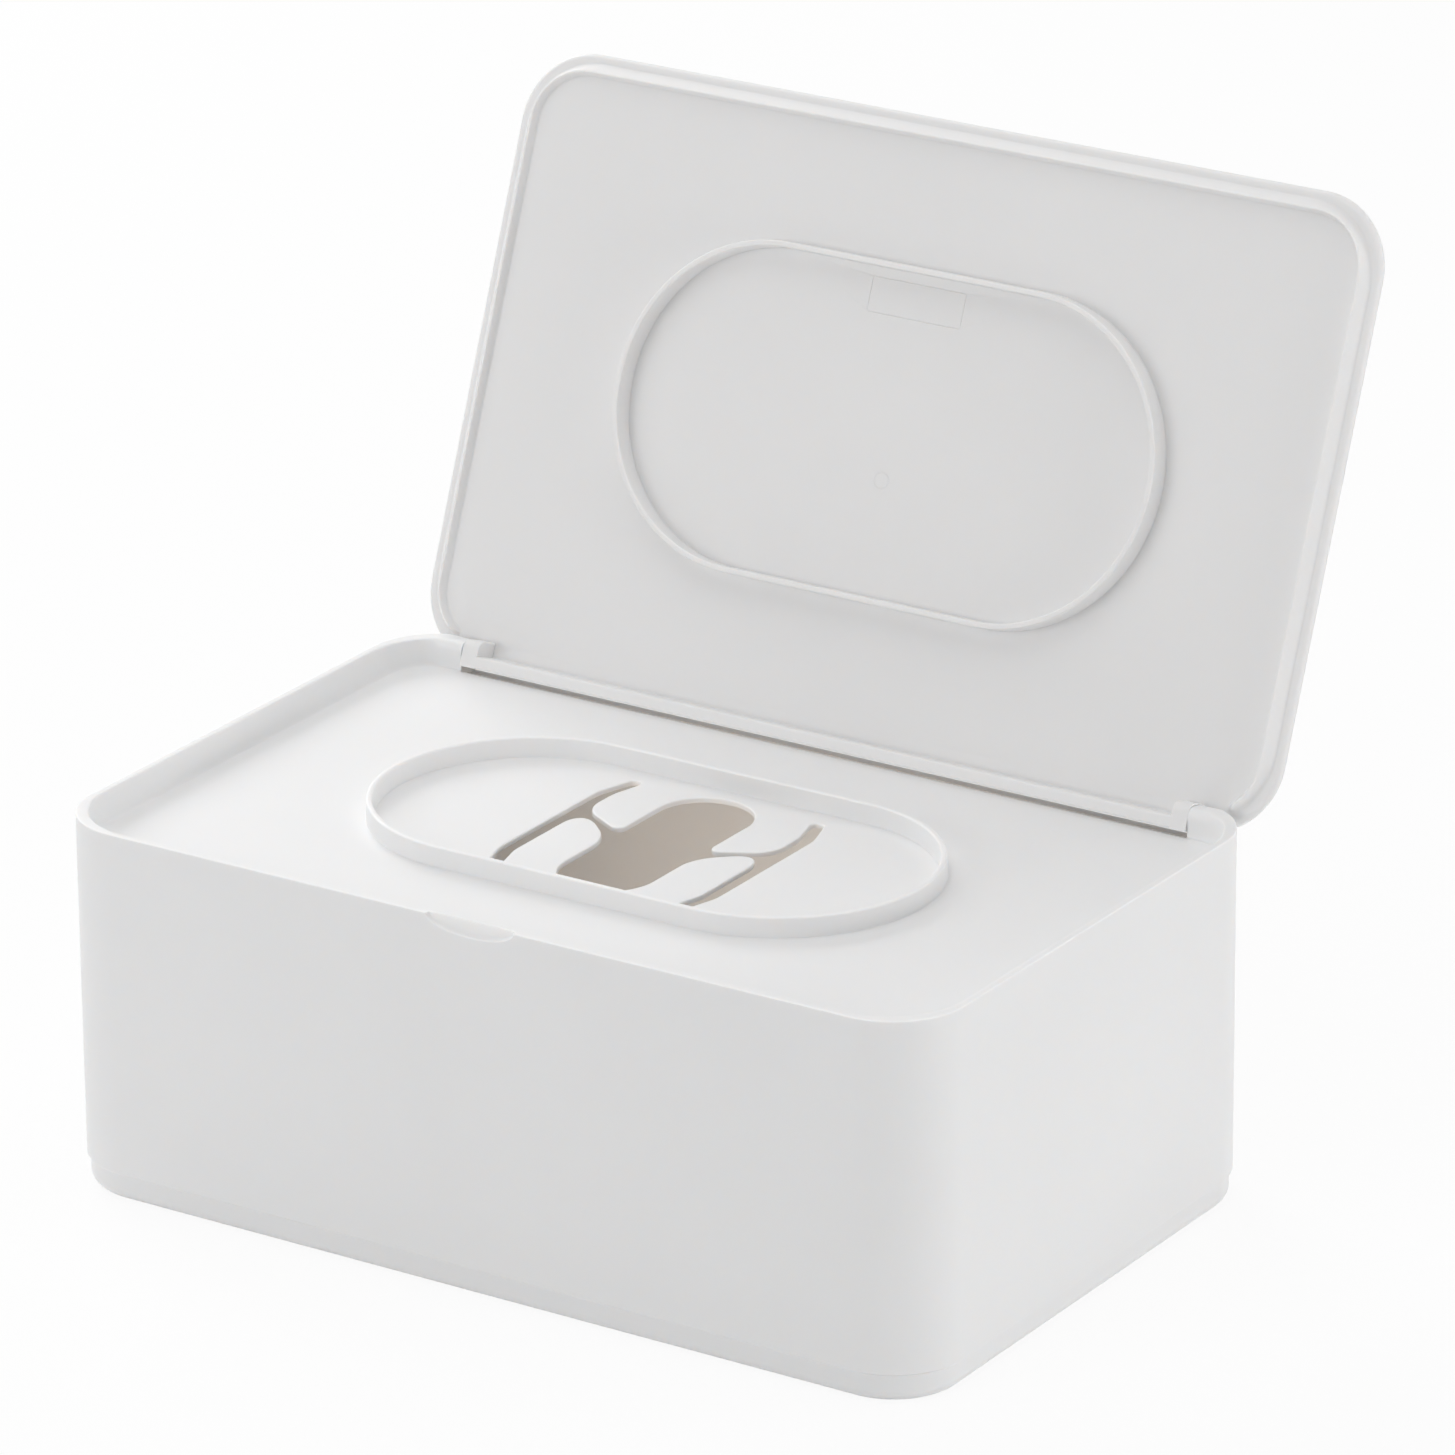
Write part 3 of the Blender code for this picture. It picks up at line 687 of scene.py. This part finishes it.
def seen_directly(nodes, link):
    """1 for a ray from the camera, off a gloss or through glass, and 0 for the rest."""
    rays = nodes.new("ShaderNodeLightPath")
    first = nodes.new("ShaderNodeMath")
    first.operation = "MAXIMUM"
    link(rays.outputs["Is Camera Ray"], first.inputs[0])
    link(rays.outputs["Is Glossy Ray"], first.inputs[1])
    either = nodes.new("ShaderNodeMath")
    either.operation = "MAXIMUM"
    link(first.outputs["Value"], either.inputs[0])
    link(rays.outputs["Is Transmission Ray"], either.inputs[1])
    return either.outputs["Value"]


mesh = bmesh.new()
bmesh.ops.create_grid(mesh, x_segments=1, y_segments=1, size=FLOOR_REACH)
floor = as_object("floor", mesh)
paint = bpy.data.materials.new("floor_paint")
paint.use_nodes = True
nodes = paint.node_tree.nodes
link = paint.node_tree.links.new
shader = nodes["Principled BSDF"]
shader.inputs["Base Color"].default_value = FLOOR_PAINT
shader.inputs["Roughness"].default_value = 0.9
shader.inputs["Specular IOR Level"].default_value = 0.0
paper = nodes.new("ShaderNodeEmission")
paper.inputs["Color"].default_value = PURE_WHITE
paper.inputs["Strength"].default_value = 1.0
seen = nodes.new("ShaderNodeMath")
seen.operation = "MULTIPLY"
seen.inputs[1].default_value = PAPER_SHARE
link(seen_directly(nodes, link), seen.inputs[0])
blend = nodes.new("ShaderNodeMixShader")
link(seen.outputs["Value"], blend.inputs["Fac"])
link(shader.outputs["BSDF"], blend.inputs[1])
link(paper.outputs["Emission"], blend.inputs[2])
link(blend.outputs["Shader"], nodes["Material Output"].inputs["Surface"])
floor.data.materials.append(paint)

# Name, place, what it points at, size, strength and colour. The last one is small and sits in
# the box, for the daylight that comes in through the thin white walls.
BOX_MIDDLE = (0.0, 0.0, 0.07)
WHITE = (1.0, 1.0, 1.0)
LAMPS = (
    ("top_lamp", (0.0, -0.1, 1.4), BOX_MIDDLE, (1.4, 1.4), 8.0, WHITE),
    ("front_left_lamp", (-0.5, -1.5, 0.6), BOX_MIDDLE, (0.9, 0.7), 6.2, WHITE),
    ("low_left_lamp", (-1.2, -1.0, 0.45), BOX_MIDDLE, (0.9, 0.7), 2.2, WHITE),
    ("left_rear_lamp", (-1.2, 0.7, 0.9), BOX_MIDDLE, (0.9, 0.9), 9.7, WHITE),
    ("right_lamp", (1.5, 0.07, 0.16), BOX_MIDDLE, (0.9, 0.3), 6.9, WHITE),
    ("right_rear_lamp", (1.2, 0.9, 0.8), BOX_MIDDLE, (0.9, 0.9), 3.2, WHITE),
    ("wall_glow_lamp", (0.0, 0.0, 0.035), (0.0, 0.06, 0.035), (0.12, 0.04), 0.0182, (1.0, 0.885, 0.77)),
)
for name, spot, target, size, energy, colour in LAMPS:
    data = bpy.data.lights.new(name, "AREA")
    data.shape = "RECTANGLE"
    data.size = size[0]
    data.size_y = size[1]
    data.energy = energy
    data.color = colour
    lamp = bpy.data.objects.new(name, data)
    lamp.location = spot
    lamp.rotation_euler = (Vector(spot) - Vector(target)).to_track_quat("Z", "Y").to_euler()
    lamp.visible_camera = False
    bpy.context.scene.collection.objects.link(lamp)

room = bpy.data.worlds.new("white_room")
bpy.context.scene.world = room
room.use_nodes = True
nodes = room.node_tree.nodes
link = room.node_tree.links.new
glow = nodes["Background"]
glow.inputs["Color"].default_value = PURE_WHITE
glow.inputs["Strength"].default_value = ROOM_GLOW
white = nodes.new("ShaderNodeBackground")
white.inputs["Color"].default_value = PURE_WHITE
white.inputs["Strength"].default_value = 1.0
blend = nodes.new("ShaderNodeMixShader")
link(seen_directly(nodes, link), blend.inputs["Fac"])
link(glow.outputs["Background"], blend.inputs[1])
link(white.outputs["Background"], blend.inputs[2])
link(blend.outputs["Shader"], nodes["World Output"].inputs["Surface"])
bpy.context.scene.view_settings.view_transform = "Standard"

# Camera: far off with a long lens, a little above the box and to its right
AZIMUTH = radians(33.29)
ELEVATION = radians(21.28)
ROLL = radians(-0.48)
AIM = Vector((0.01627, 0, 0.09511))
DISTANCE = 1.72981
LENS = 235
FILM_WIDTH = 36
turn = (
    Matrix.Rotation(AZIMUTH, 4, "Z")
    @ Matrix.Rotation(pi / 2 - ELEVATION, 4, "X")
    @ Matrix.Rotation(ROLL, 4, "Z")
)
camera = bpy.data.objects.new("camera", bpy.data.cameras.new("camera"))
bpy.context.scene.collection.objects.link(camera)
camera.matrix_world = Matrix.Translation(AIM + turn.to_3x3() @ Vector((0, 0, DISTANCE))) @ turn
camera.data.lens = LENS
camera.data.sensor_width = FILM_WIDTH
camera.data.clip_start = 0.1
camera.data.clip_end = 30
bpy.context.scene.camera = camera
